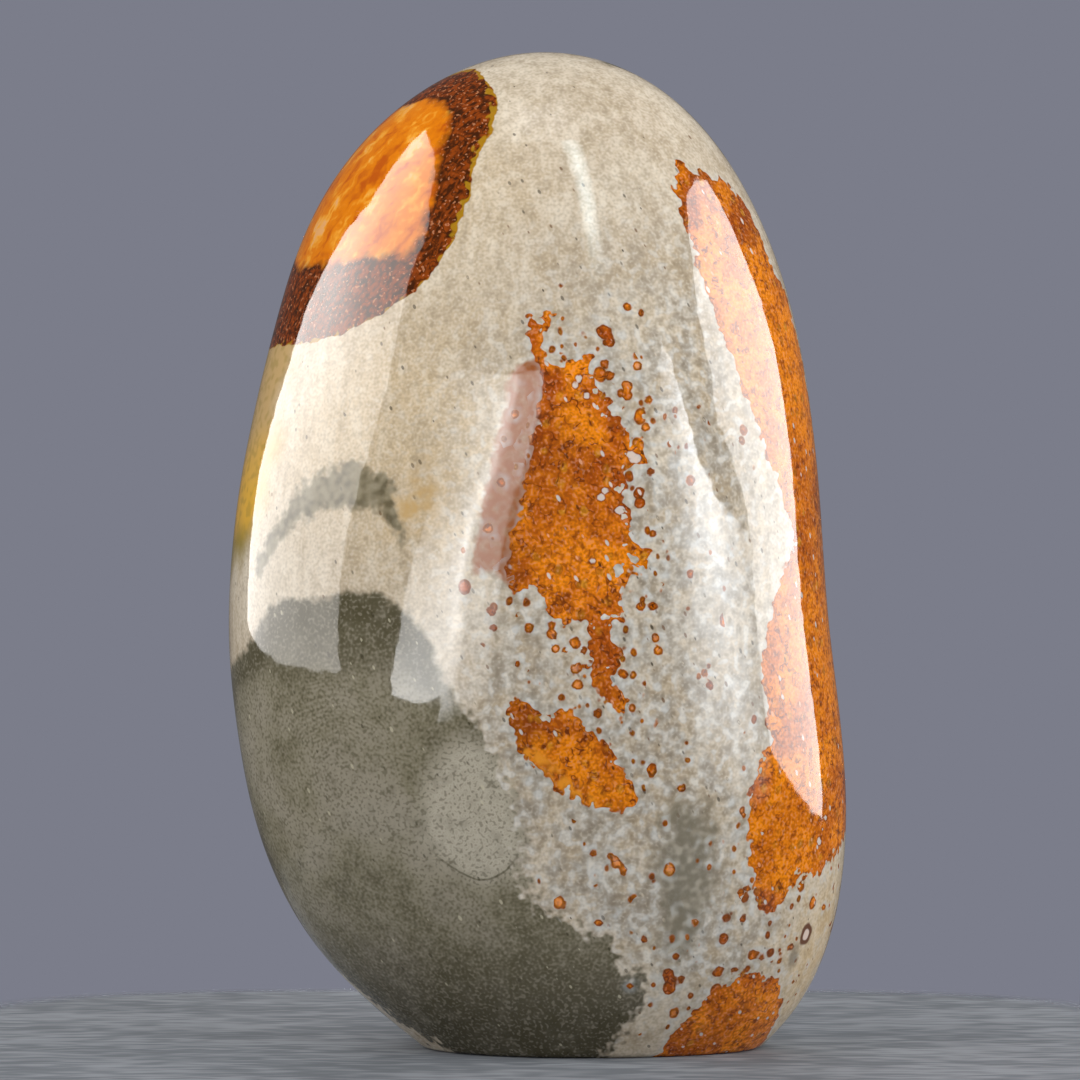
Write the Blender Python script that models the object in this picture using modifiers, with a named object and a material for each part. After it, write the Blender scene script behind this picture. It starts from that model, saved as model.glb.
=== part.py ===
"""A polished freeform of polychrome jasper.

One stone, ground and polished all over, that stands upright on a small flat cut at its foot.
Metres, +Z up. The origin is on the floor, under the middle of the stone's box. The broad show
face looks along -Y, with +X to its right.
"""

import math

import bmesh
import bpy
import numpy as np

MM = 0.001
FULL_TURN = 2 * math.pi

STONE = "jasper_stone"

# The skin is given by its reach: the distance from the heart, a point on the stone's upright axis.
HEART_HEIGHT = 96.0 * MM

# Reach in mm at every 15 degrees of the outline seen from the front, clockwise from the crown.
# The three values round 180 degrees lie below the floor, where the stone is cut off.
FRONT_OUTLINE = (
    103.8, 99.0, 85.6, 72.4, 63.3, 58.5, 57.5, 61.0, 70.6, 86.4, 102.5, 109.0,
    108.0, 97.4, 87.8, 77.8, 68.9, 63.8, 61.4, 61.8, 65.3, 73.3, 86.1, 97.8,
)
# Reach in mm at every 30 degrees of the outline seen from the side, from the crown down the show
# face to the foot, and up the back.
SIDE_OUTLINE = (103.8, 73.2, 51.5, 46.2, 52.6, 76.0, 108.0, 71.8, 47.8, 42.4, 47.4, 70.6)

# How much fuller than an oval a level section is towards its four corners.
SQUARENESS = 0.022

# Broad, shallow flats left by the grinding wheel: the way each one faces, in degrees to the right
# of the show face and above the horizon, its depth in mm, and its spread in degrees.
GRINDING_FLATS = (
    (-58, 24, 0.40, 24),
    (-34, -20, 0.35, 24),
    (2, 12, 0.22, 24),
    (50, 22, 0.40, 22),
    (30, -24, 0.32, 22),
    (112, -28, 0.35, 22),
    (128, 16, 0.45, 26),
    (172, -12, 0.40, 28),
    (-140, 20, 0.45, 26),
    (-120, -24, 0.40, 24),
)

# The mesh: facets round the stone, and rings from crown to nadir, most of them above the foot's rim.
FACETS_ROUND = 84
RINGS = 50
RIM_RING = 45

# The search for the foot's rim: the angles down from the crown that it lies between, in degrees,
# and how often the gap between them is halved.
RIM_SEARCH = (100, 179)
RIM_HALVINGS = 48

# The foot's cut edge is eased a little, as it is on the real stone.
RIM_EASE = 0.9 * MM
RIM_EASE_STEPS = 2
# A point this near the floor is on the foot.
ON_FLOOR = 0.001 * MM

CREAM = (0.56, 0.50, 0.38, 1.0)
POLISH_ROUGHNESS = 0.12
QUARTZ_IOR = 1.54


def clear_scene():
    """Removes whatever the file holds, so that the script gives the same result each run."""
    for old in list(bpy.data.objects):
        bpy.data.objects.remove(old)


def reach_round(outline_mm, angle):
    """The reach in metres at these angles, on a smooth closed curve through an outline's values."""
    knots = np.array(outline_mm) * MM
    count = len(knots)
    before, after = np.roll(knots, 1), np.roll(knots, -1)
    neighbours = np.roll(np.eye(count), 1, axis=0) + np.roll(np.eye(count), -1, axis=0)
    bend = np.linalg.solve(4 * np.eye(count) + neighbours, 6 * (before - 2 * knots + after))
    place = (angle % FULL_TURN) / (FULL_TURN / count)
    low = np.floor(place).astype(int) % count
    high = (low + 1) % count
    t = place - np.floor(place)
    straight = (1 - t) * knots[low] + t * knots[high]
    return straight + (((1 - t) ** 3 - (1 - t)) * bend[low] + (t**3 - t) * bend[high]) / 6


def direction(azimuth, polar):
    """Unit vectors for an azimuth, measured from +X towards +Y, and an angle down from the crown."""
    return np.stack(
        [np.sin(polar) * np.cos(azimuth), np.sin(polar) * np.sin(azimuth), np.cos(polar)], axis=-1
    )


def flats_depth(azimuth, polar):
    """How far the grinding flats lower the skin, in metres."""
    ways = direction(azimuth, polar)
    depth = np.zeros(ways.shape[:-1])
    for facing, rise, depth_mm, spread in GRINDING_FLATS:
        centre = direction(math.radians(facing - 90), math.radians(90 - rise))
        off_centre = np.arccos(np.clip(ways @ centre, -1, 1))
        depth += depth_mm * MM * np.exp(-((off_centre / math.radians(spread)) ** 2))
    return depth


def skin_reach(azimuth, polar):
    """The stone's reach in any direction, blended between its front and side outlines.

    The blend is of 1 / reach squared, with which two equal pairs of outlines give an exact oval.
    """
    right, left, face, back = (
        reach_round(outline, turn * polar) ** -2.0
        for outline, turn in (
            (FRONT_OUTLINE, 1), (FRONT_OUTLINE, -1), (SIDE_OUTLINE, 1), (SIDE_OUTLINE, -1)
        )
    )
    mean = (right + left + face + back) / 4
    blend = mean + (right - left) / 2 * np.cos(azimuth) - (face - back) / 2 * np.sin(azimuth)
    blend += (right + left - face - back) / 4 * np.cos(2 * azimuth)
    blend += SQUARENESS * mean * np.sin(polar) ** 4 * (np.cos(4 * azimuth) - 1)
    return blend**-0.5 - flats_depth(azimuth, polar)


def rim_polar(azimuth):
    """The angle down from the crown at which the skin meets the floor, for each azimuth."""
    low, high = (np.full_like(azimuth, math.radians(end)) for end in RIM_SEARCH)
    for _ in range(RIM_HALVINGS):
        middle = (low + high) / 2
        above = HEART_HEIGHT + skin_reach(azimuth, middle) * np.cos(middle) > 0
        low = np.where(above, middle, low)
        high = np.where(above, high, middle)
    return (low + high) / 2


def stone_points(azimuth, fall):
    """Points of the stone for an azimuth and a fall.

    A fall of 0 is the crown, 1 is the foot's rim, and 2 is the middle of the foot.
    """
    rim = rim_polar(azimuth)
    polar = rim * np.minimum(fall, 1)
    skin = direction(azimuth, polar) * skin_reach(azimuth, polar)[..., None]
    skin[..., 2] += HEART_HEIGHT
    on_foot = fall >= 1
    skin[..., 2] = np.where(on_foot, 0, skin[..., 2])
    inward = np.clip(2 - fall, 0, 1)[..., None]
    foot_middle = skin[on_foot].mean(axis=0)
    return np.where(on_foot[..., None], foot_middle + (skin - foot_middle) * inward, skin)


def centred(points):
    """The same points, moved level so that the middle of their box is on the Z axis."""
    middle = (points.min(axis=0) + points.max(axis=0)) / 2
    return points - np.array([middle[0], middle[1], 0])


def jasper_material():
    """Cream silica with a polished face, the colour that covers most of the stone."""
    material = bpy.data.materials.new("polished_jasper")
    material.use_nodes = True
    shader = material.node_tree.nodes["Principled BSDF"]
    shader.inputs["Base Color"].default_value = CREAM
    shader.inputs["Roughness"].default_value = POLISH_ROUGHNESS
    shader.inputs["Metallic"].default_value = 0.0
    shader.inputs["IOR"].default_value = QUARTZ_IOR
    material.diffuse_color = CREAM
    return material


def shape_stone(shape):
    """Moves the vertices of a unit sphere onto the stone, with one of its rings along the foot's rim."""
    shape.verts.ensure_lookup_table()
    sphere = np.array([vertex.co for vertex in shape.verts])
    azimuth = np.arctan2(sphere[:, 1], sphere[:, 0])
    turned = np.arccos(np.clip(sphere[:, 2], -1, 1)) / math.pi * RINGS
    above = turned / RIM_RING
    below = 1 + (turned - RIM_RING) / (RINGS - RIM_RING)
    ring = np.round(turned)
    fall = np.where(ring < RIM_RING, above, np.where(ring > RIM_RING, below, 1.0))
    for vertex, point in zip(shape.verts, centred(stone_points(azimuth, fall))):
        vertex.co = point


def flatten_foot(shape):
    """Makes the foot one flat face, and marks its edges for easing."""
    foot = [face for face in shape.faces if all(abs(v.co.z) < ON_FLOOR for v in face.verts)]
    joined = bmesh.ops.dissolve_faces(shape, faces=foot, use_verts=True)["region"]
    ease = shape.edges.layers.float.new("bevel_weight_edge")
    for edge in joined[0].edges:
        edge[ease] = 1.0


def build_stone(collection):
    """The whole object: one solid, smooth to the eye, with an eased edge round its flat foot."""
    shape = bmesh.new()
    bmesh.ops.create_uvsphere(shape, u_segments=FACETS_ROUND, v_segments=RINGS, radius=1)
    shape_stone(shape)
    flatten_foot(shape)
    bmesh.ops.recalc_face_normals(shape, faces=shape.faces)
    mesh = bpy.data.meshes.new(STONE)
    shape.to_mesh(mesh)
    shape.free()
    mesh.shade_smooth()
    mesh.materials.append(jasper_material())
    stone = bpy.data.objects.new(STONE, mesh)
    collection.objects.link(stone)
    ease = stone.modifiers.new("eased foot edge", "BEVEL")
    ease.width = RIM_EASE
    ease.segments = RIM_EASE_STEPS
    ease.limit_method = "WEIGHT"
    return stone


def main():
    clear_scene()
    collection = bpy.data.collections.new("polychrome_jasper")
    bpy.context.scene.collection.children.link(collection)
    build_stone(collection)


main()
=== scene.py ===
# %% [markdown]
# # A polished freeform of polychrome jasper
#
# The real thing is one stone. Silica filled an old bed of clay, iron stained it in rounded patches
# and sprays of droplets, and a lapidary ground the cobble to a tall freeform, polished it all over
# and cut a small flat foot. So this lesson has one piece, and nearly all of the work is in its
# skin: where each stain lies, how its border breaks up, and how the polish mirrors the lights.

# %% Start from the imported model
import math

import bmesh
import bpy
import numpy as np
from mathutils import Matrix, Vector, noise


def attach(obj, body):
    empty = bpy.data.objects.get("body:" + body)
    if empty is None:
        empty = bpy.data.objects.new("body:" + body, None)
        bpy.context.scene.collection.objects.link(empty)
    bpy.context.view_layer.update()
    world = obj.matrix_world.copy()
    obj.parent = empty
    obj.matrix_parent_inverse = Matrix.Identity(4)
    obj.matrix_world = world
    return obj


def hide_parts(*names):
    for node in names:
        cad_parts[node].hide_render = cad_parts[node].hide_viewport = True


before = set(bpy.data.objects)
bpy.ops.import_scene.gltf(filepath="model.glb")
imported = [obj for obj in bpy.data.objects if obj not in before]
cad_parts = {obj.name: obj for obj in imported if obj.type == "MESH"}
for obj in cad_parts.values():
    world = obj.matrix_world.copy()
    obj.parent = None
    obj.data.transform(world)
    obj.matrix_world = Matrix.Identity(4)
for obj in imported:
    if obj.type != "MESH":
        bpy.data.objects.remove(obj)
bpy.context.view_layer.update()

MM = 0.001
STONE = "jasper_stone"

# %% [markdown]
# ## The camera
#
# The stone is seen level, from straight in front of its broad face, through a long lens, which
# keeps its sides nearly parallel. A long lens is a large focal length: at 166 mm on a 36 mm
# sensor, the picture is 217 mm wide at a distance of one metre.

# %% Camera
CAMERA_DISTANCE = 1.0
CAMERA_HEIGHT = 101.8 * MM
CAMERA_SIDE = 0.5 * MM
LENS_MM = 166.0

lens = bpy.data.cameras.new("studio_camera")
lens.lens = LENS_MM
lens.sensor_width = 36.0
lens.clip_start = 0.05
camera = bpy.data.objects.new("studio_camera", lens)
camera.location = (CAMERA_SIDE, -CAMERA_DISTANCE, CAMERA_HEIGHT)
camera.rotation_euler = (math.radians(90), 0, 0)
bpy.context.scene.collection.objects.link(camera)
bpy.context.scene.camera = camera
bpy.context.scene.view_settings.view_transform = "Standard"

# %% [markdown]
# ## Colours
#
# A painter names a colour as the eye sees it, from 0 to 255, but a shader needs the share of the
# light that comes back. `paint` turns the one into the other, and it divides by the brightness of
# this studio's light, so that a colour shows on the stone as it is named here.

# %% Paint
STUDIO_BRIGHTNESS = 1.05


def linear(level):
    """The share of light that a screen level from 0 to 255 stands for."""
    level /= 255
    return level / 12.92 if level <= 0.04045 else ((level + 0.055) / 1.055) ** 2.4


def paint(red, green, blue, brightness=STUDIO_BRIGHTNESS):
    """A colour for a shader, from the colour as it should be seen in this light."""
    return (*(linear(level) / brightness for level in (red, green, blue)), 1.0)


# %% [markdown]
# ## Node helpers
#
# The stone's finish is a large web of shader nodes. Written out one socket at a time it would be
# unreadable, so these helpers each add one node and hand back its output, and the finish then
# reads like a sum. Sizes are always in millimetres on the stone.

# %% Helpers for shader nodes
class Web:
    """Adds nodes to one material."""

    def __init__(self, material):
        material.use_nodes = True
        self.tree = material.node_tree
        place = self.tree.nodes.new("ShaderNodeTexCoord").outputs["Object"]
        self.place = self.vector("SCALE", place, scale=1 / MM)

    def put(self, socket, value):
        if isinstance(value, bpy.types.NodeSocket):
            self.tree.links.new(value, socket)
        else:
            socket.default_value = value

    def vector(self, operation, first, second=None, scale=None):
        node = self.tree.nodes.new("ShaderNodeVectorMath")
        node.operation = operation
        self.put(node.inputs[0], first)
        if second is not None:
            self.put(node.inputs[1], second)
        if scale is not None:
            self.put(node.inputs["Scale"], scale)
        return node.outputs["Vector"]

    def calc(self, operation, *values):
        node = self.tree.nodes.new("ShaderNodeMath")
        node.operation = operation
        for socket, value in zip(node.inputs, values):
            self.put(socket, value)
        return node.outputs[0]

    def total(self, *values):
        """The sum of any number of values."""
        result = values[0]
        for value in values[1:]:
            result = self.calc("ADD", result, value)
        return result

    def lowest(self, *values):
        result = values[0]
        for value in values[1:]:
            result = self.calc("MINIMUM", result, value)
        return result

    def times(self, *values):
        """The product of any number of values."""
        result = values[0]
        for value in values[1:]:
            result = self.calc("MULTIPLY", result, value)
        return result

    def fade(self, value, full, none, most=1.0):
        """most where value is at full, 0 where it is at none, and a smooth step between."""
        node = self.tree.nodes.new("ShaderNodeMapRange")
        node.interpolation_type = "SMOOTHSTEP"
        self.put(node.inputs["Value"], value)
        for name, number in (("From Min", none), ("From Max", full), ("To Min", 0), ("To Max", most)):
            self.put(node.inputs[name], number)
        return node.outputs["Result"]

    def blend(self, share, under, over):
        """Colour under, covered by colour over as much as share says."""
        node = self.tree.nodes.new("ShaderNodeMix")
        node.data_type = "RGBA"
        self.put(node.inputs[0], share)
        self.put(node.inputs[6], under)
        self.put(node.inputs[7], over)
        return node.outputs[2]

    def mark(self, name):
        """The distance in mm to a marking's outline, negative inside it, kept on the mesh."""
        node = self.tree.nodes.new("ShaderNodeAttribute")
        node.attribute_name = name
        return node.outputs["Fac"]

    def cloud(self, size, detail=3.0, roughness=0.55, seed=0.0, place=None, reach=2.0):
        """Noise round 0, with lumps of this size in mm. It almost never gets as far as reach."""
        node = self.tree.nodes.new("ShaderNodeTexNoise")
        shifted = self.vector("ADD", self.place if place is None else place, (seed, seed, seed))
        self.put(node.inputs["Vector"], shifted)
        for name, number in (("Scale", 0.5 / size), ("Detail", detail), ("Roughness", roughness)):
            self.put(node.inputs[name], number)
        return self.calc("MULTIPLY_ADD", node.outputs["Fac"], 2 * reach, -reach)

    def cells(self, size, seed=0.0, place=None):
        """Scattered points: the distance in mm to the nearest, and three random numbers of its own."""
        node = self.tree.nodes.new("ShaderNodeTexVoronoi")
        shifted = self.vector("ADD", self.place if place is None else place, (seed, seed, seed))
        self.put(node.inputs["Vector"], shifted)
        self.put(node.inputs["Scale"], 1 / size)
        apart = self.tree.nodes.new("ShaderNodeSeparateColor")
        self.put(apart.inputs[0], node.outputs["Color"])
        return self.calc("MULTIPLY", node.outputs["Distance"], size), *list(apart.outputs)[:3]

    def stretched(self, across, along, tilt):
        """The place, drawn out so that spots become streaks that lean tilt degrees to the right."""
        turn = self.tree.nodes.new("ShaderNodeMapping")
        turn.vector_type = "TEXTURE"
        self.put(turn.inputs["Vector"], self.place)
        self.put(turn.inputs["Rotation"], (0, math.radians(tilt), 0))
        self.put(turn.inputs["Scale"], (across, across, along))
        return turn.outputs["Vector"]

    def from_spot(self, spot, squash=1.0):
        """The distance in mm from a spot. squash under 1 makes an upright oval of what is near it."""
        offset = self.vector("SUBTRACT", self.place, tuple(float(value) for value in spot))
        node = self.tree.nodes.new("ShaderNodeVectorMath")
        node.operation = "LENGTH"
        self.put(node.inputs[0], self.vector("MULTIPLY", offset, (1, 1, squash)))
        return node.outputs["Value"]

    def specks(self, points, radius, chance):
        """Small specks on some of these points: 1 on each, and two random numbers of its own."""
        apart, luck, bulk, kind = points
        reach = self.calc("MULTIPLY_ADD", bulk, radius * 0.6, radius * 0.4)
        inside = self.fade(self.calc("SUBTRACT", apart, reach), -0.10, 0.06)
        return self.times(inside, self.calc("LESS_THAN", luck, chance)), kind, bulk

    def scatter(self, under, specks, first, second, share):
        """Colour under with specks, each of them of the first or the second colour."""
        on_speck, kind, _ = specks
        colour = self.blend(self.calc("GREATER_THAN", kind, 0.5), first, second)
        return self.blend(self.times(on_speck, share), under, colour)


# %% [markdown]
# ## Floor and background
#
# A plain pale slab stands in for a display table. It fades out a hand's breadth behind the stone,
# as the far edge of a table does in a photograph that is sharp only on the stone. The wall is a
# wide shell that only the camera sees. Behind the camera a studio is dark, so the world colour,
# which the polish mirrors, is a good deal darker than the wall.

# %% Floor
FLOOR_REACH = 0.24
FLOOR_FADE = (118, 134)
FLOOR_SQUARENESS = 4.0
FLOOR_BRIGHTNESS = 1.75
FLOOR_PALE = paint(156, 160, 166, FLOOR_BRIGHTNESS)
FLOOR_DEEP = paint(118, 122, 128, FLOOR_BRIGHTNESS)

mesh = bpy.data.meshes.new("floor")
corners = [(-FLOOR_REACH, -FLOOR_REACH, 0), (FLOOR_REACH, -FLOOR_REACH, 0),
           (FLOOR_REACH, FLOOR_REACH, 0), (-FLOOR_REACH, FLOOR_REACH, 0)]
mesh.from_pydata(corners, [], [(0, 1, 2, 3)])
floor = bpy.data.objects.new("floor", mesh)
bpy.context.scene.collection.objects.link(floor)

slab = bpy.data.materials.new("pale_slab")
web = Web(slab)
shader = web.tree.nodes["Principled BSDF"]
worn = web.vector("MULTIPLY", web.place, (0.3, 1, 1))
streaks = web.total(web.cloud(9.0, 1, place=worn), web.cloud(1.0, 0, seed=5, place=worn))
slab_colour = web.blend(web.fade(streaks, 1.3, -1.1), FLOOR_DEEP, FLOOR_PALE)
web.put(shader.inputs["Base Color"], slab_colour)
web.put(shader.inputs["Roughness"], 0.8)
web.put(shader.inputs["Specular IOR Level"], 0.1)
split = web.tree.nodes.new("ShaderNodeSeparateXYZ")
web.put(split.inputs[0], web.place)
span = web.total(*(
    web.calc("POWER", web.calc("ABSOLUTE", split.outputs[axis]), FLOOR_SQUARENESS) for axis in (0, 1)))
span = web.calc("POWER", span, 1 / FLOOR_SQUARENESS)
web.put(shader.inputs["Alpha"], web.fade(span, *FLOOR_FADE))
floor.data.materials.append(slab)
print("floor fades at", FLOOR_FADE, "mm")

# %% Wall and world
WALL = (123, 125, 138)
WALL_REACH = 4.0
STUDIO_DARK = (84, 84, 86)

bpy.ops.mesh.primitive_uv_sphere_add(segments=48, ring_count=24, radius=WALL_REACH)
wall = bpy.context.object
wall.name = "studio_wall"
wall.visible_diffuse = wall.visible_glossy = wall.visible_shadow = False
wall_paint = bpy.data.materials.new("studio_wall")
wall_paint.use_nodes = True
wall_paint.cycles.emission_sampling = "NONE"
wall_paint.node_tree.nodes.clear()
glow = wall_paint.node_tree.nodes.new("ShaderNodeEmission")
glow.inputs["Color"].default_value = paint(*WALL, 1.0)
output = wall_paint.node_tree.nodes.new("ShaderNodeOutputMaterial")
wall_paint.node_tree.links.new(glow.outputs[0], output.inputs["Surface"])
wall.data.materials.append(wall_paint)

world = bpy.data.worlds.new("dark_studio")
world.use_nodes = True
world.node_tree.nodes["Background"].inputs["Color"].default_value = paint(*STUDIO_DARK, 1.0)
bpy.context.scene.world = world

# %% [markdown]
# ## Lights
#
# A polished stone is mostly seen by what it mirrors, so the lights come in two kinds. The soft
# lights here are hidden from reflections: they only bring out the colours, mostly from high in
# front, which leaves the undercut foot in gentle shade.

# %% Soft lights
HEART = Vector((0, 0, 0.096))


def towards(turn, rise):
    """The direction turn degrees to the right of the show face and rise degrees above level."""
    turn, rise = math.radians(turn), math.radians(rise)
    return Vector((math.sin(turn) * math.cos(rise), -math.cos(turn) * math.cos(rise), math.sin(rise)))


def soft_light(name, turn, rise, size, share, distance=1.2):
    """A round light. share is how much of its colour a surface that faces the light sends back."""
    lamp = bpy.data.lights.new(name, "AREA")
    lamp.shape = "DISK"
    lamp.size = size
    lamp.energy = share * 4 * math.pi * distance**2
    light = bpy.data.objects.new(name, lamp)
    light.location = HEART + towards(turn, rise) * distance
    light.rotation_euler = towards(turn, rise).to_track_quat("Z", "Y").to_euler()
    light.visible_camera = False
    light.visible_glossy = False
    bpy.context.scene.collection.objects.link(light)


soft_light("key_left", -38, 42, 0.9, 0.40)
soft_light("key_right", 40, 38, 0.9, 0.40)
soft_light("front_fill", 0, 4, 0.9, 0.25)
soft_light("left_fill", -100, 16, 0.9, 0.40)
soft_light("right_fill", 100, 12, 0.9, 0.55)
soft_light("back_fill", 180, 30, 1.0, 0.66)

# %% [markdown]
# ## What the polish mirrors
#
# The second kind are glowing panels that only reflections see. The photograph shows a large soft
# box on the left, another on the right, a dimmer panel in front with a bright edge, a soft glow
# beside the right box, and a narrow tube high in front. Each panel is a grid of corners, and each
# corner has its own brightness, so a panel can fade to nothing along an edge. The panels light
# nothing else, so Cycles is told not to aim at them as lamps, which saves time and noise.

# %% Mirrored panels
PANEL_DISTANCE = 0.9


def mirrored_panel(name, radiance, rows, colour=(1, 1, 1)):
    """A panel seen only in reflections. rows of (turn, rise, brightness), all of one length."""
    mesh = bpy.data.meshes.new(name)
    corners = [HEART + towards(turn, rise) * PANEL_DISTANCE for row in rows for turn, rise, _ in row]
    across = len(rows[0])
    faces = [
        (first, first + 1, first + across + 1, first + across)
        for row in range(len(rows) - 1)
        for first in range(row * across, row * across + across - 1)
    ]
    mesh.from_pydata(corners, [], faces)
    glow = mesh.attributes.new("glow", "FLOAT", "POINT")
    glow.data.foreach_set("value", [radiance * corner[2] for row in rows for corner in row])
    material = bpy.data.materials.new(name)
    material.use_nodes = True
    material.cycles.emission_sampling = "NONE"
    nodes, links = material.node_tree.nodes, material.node_tree.links
    nodes.clear()
    emission = nodes.new("ShaderNodeEmission")
    emission.inputs["Color"].default_value = (*colour, 1)
    brightness = nodes.new("ShaderNodeAttribute")
    brightness.attribute_name = "glow"
    links.new(brightness.outputs["Fac"], emission.inputs["Strength"])
    links.new(emission.outputs[0], nodes.new("ShaderNodeOutputMaterial").inputs["Surface"])
    mesh.materials.append(material)
    panel = bpy.data.objects.new(name, mesh)
    panel.visible_camera = False
    panel.visible_diffuse = False
    panel.visible_shadow = False
    bpy.context.scene.collection.objects.link(panel)


mirrored_panel("left_box", 5.0, (
    ((-106, 57, 1.3), (-90, 58, 1.2), (-75, 57, 0.85), (-62, 53, 0.65)),
    ((-92, 41, 1.5), (-80, 42, 1.3), (-62, 42, 0.9), (-47.5, 40, 0.7)),
    ((-107, 25, 1.7), (-90, 27, 2.0), (-68, 25, 1.2), (-49, 24, 0.8)),
    ((-125, 10, 1.4), (-100, 9, 1.1), (-75, 7, 0.75), (-56, 6, 0.7)),
    ((-121, -2, 1.2), (-98, -7, 0.8), (-76, -10, 0.8), (-55.5, -11.5, 0.8)),
), colour=(1.0, 0.97, 0.94))
mirrored_panel("front_panel", 6.0, (
    ((-31, 24.5, 0.15), (-18, 25, 0.35), (-8.5, 24.5, 0.8), (-5.5, 24.5, 1.5)),
    ((-23, 11, 0.2), (-17, 11, 0.4), (-12.5, 11, 0.8), (-9.5, 11, 1.7)),
    ((-30, 0, 0.7), (-24, 0, 0.95), (-18.5, 0, 1.25), (-15.5, 0, 1.9)),
    ((-37.5, -14.5, 1.3), (-31, -15, 1.4), (-25.5, -15, 1.3), (-22.5, -14, 1.3)),
))
mirrored_panel("front_panel_edge", 6.0, (
    ((-5.5, 24.5, 1.5), (-3.5, 24.5, 0.55), (2.5, 24.5, 0.5)),
    ((-9.5, 11, 1.7), (-7.0, 11, 0.6), (-1.5, 11, 0.5)),
    ((-15.5, 0, 1.8), (-12.5, 1.5, 0.6), (-5.5, 2, 0.5)),
    ((-22.5, -14, 1.3), (-19.5, -13, 0.5), (-13, -12, 0.25)),
    ((-25, -18, 0.4), (-21.5, -17.5, 0.1), (-14, -16, 0.0)),
))
mirrored_panel("right_glow", 6.0, (
    ((43, 27, 1.0), (48.5, 20, 1.9), (53, 12.5, 2.2), (62, 8, 1.6), (79, 5.5, 0.4)),
    ((41, 24, 0.5), (46.5, 16, 1.0), (51.5, 9, 1.9), (60, 5, 1.7), (78, 2.5, 0.2)),
    ((37, 19, 0.15), (42, 10, 0.35), (48, 3, 1.1), (58, 0, 1.4), (76, -1, 0.1)),
    ((32, 13, 0.0), (36, 2, 0.15), (43, -8, 0.45), (55, -8, 0.7), (74, -8, 0.0)),
    ((28, 6, 0.0), (31, -7, 0.0), (39, -20, 0.0), (54, -18, 0.0), (72, -12, 0.0)),
), colour=(0.92, 0.96, 1.0))
mirrored_panel("right_box", 8.0, (
    ((71, 37.5, 0.9), (82, 41.5, 0.9), (95, 42, 0.9), (108, 39, 0.9)),
    ((62, 28, 0.8), (78, 28, 1.15), (94, 28, 1.1), (107, 28, 1.0)),
    ((64, 16, 0.7), (80, 16, 1.1), (96, 16, 1.1), (112, 17, 1.0)),
    ((77, 6.5, 0.8), (88, 5.5, 0.95), (98, 5, 0.95), (114, 5, 0.9)),
    ((72, -5.5, 0.8), (85, -8, 0.8), (98, -9.2, 0.8), (112, -9.2, 0.8)),
))
mirrored_panel("high_tube", 8.0, (
    ((14, 70, 0), (18, 70, 0.2), (24, 70, 0.4), (29, 70, 0.2), (33, 70, 0)),
    ((16, 61, 0), (19, 61, 0.8), (23.5, 61, 1.1), (28, 61, 0.6), (31, 61, 0)),
    ((18.5, 48, 0), (21, 48, 0.8), (23.5, 48, 1.2), (26, 48, 0.8), (28, 48, 0)),
    ((18, 38, 0), (20, 38, 0.5), (22, 38, 0.8), (24, 38, 0.5), (26, 38, 0)),
    ((18, 33, 0), (19.5, 33, 0), (21.5, 33, 0), (23.5, 33, 0), (25, 33, 0)),
), colour=(0.82, 0.97, 1.0))
mirrored_panel("top_box", 3.5, (
    ((-120, 78, 0.0), (-60, 84, 0.0), (60, 84, 0.0), (120, 78, 0.0)),
    ((-60, 74, 0.0), (-20, 78, 0.8), (20, 78, 0.8), (60, 74, 0.0)),
    ((-38, 64, 0.0), (-12, 65, 0.4), (12, 65, 0.4), (38, 64, 0.0)),
))

# %% [markdown]
# ## The stone's skin
#
# The solid that this lesson dresses was made from the stone's reach: how far its skin lies from a
# heart point in every direction. The same few values give the finest mesh here, so that the
# polish mirrors in smooth curves: a coarse mesh, however much it is smoothed, would show its
# facets in every reflection.

# %% The reach of the skin
HEART_HEIGHT = 96.0
FRONT_OUTLINE = (
    103.8, 99.0, 85.6, 72.4, 63.3, 58.5, 57.5, 61.0, 70.6, 86.4, 102.5, 109.0,
    108.0, 97.4, 87.8, 77.8, 68.9, 63.8, 61.4, 61.8, 65.3, 73.3, 86.1, 97.8,
)
SIDE_OUTLINE = (103.8, 73.2, 51.5, 46.2, 52.6, 76.0, 108.0, 71.8, 47.8, 42.4, 47.4, 70.6)
SQUARENESS = 0.022
GRINDING_FLATS = (
    (-58, 24, 0.40, 24), (-34, -20, 0.35, 24), (2, 12, 0.22, 24), (50, 22, 0.40, 22),
    (30, -24, 0.32, 22), (112, -28, 0.35, 22), (128, 16, 0.45, 26), (172, -12, 0.40, 28),
    (-140, 20, 0.45, 26), (-120, -24, 0.40, 24),
)


def reach_round(outline, angle):
    """The reach in mm at these angles, on a smooth closed curve through an outline's values."""
    knots = np.array(outline)
    count = len(knots)
    before, after = np.roll(knots, 1), np.roll(knots, -1)
    neighbours = np.roll(np.eye(count), 1, axis=0) + np.roll(np.eye(count), -1, axis=0)
    bend = np.linalg.solve(4 * np.eye(count) + neighbours, 6 * (before - 2 * knots + after))
    place = (angle % (2 * math.pi)) / (2 * math.pi / count)
    low = np.floor(place).astype(int) % count
    high = (low + 1) % count
    t = place - np.floor(place)
    straight = (1 - t) * knots[low] + t * knots[high]
    return straight + (((1 - t) ** 3 - (1 - t)) * bend[low] + (t**3 - t) * bend[high]) / 6


def direction(azimuth, polar):
    """Unit vectors for an azimuth, from +X towards +Y, and an angle down from the crown."""
    return np.stack(
        [np.sin(polar) * np.cos(azimuth), np.sin(polar) * np.sin(azimuth), np.cos(polar)], axis=-1)


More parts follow.
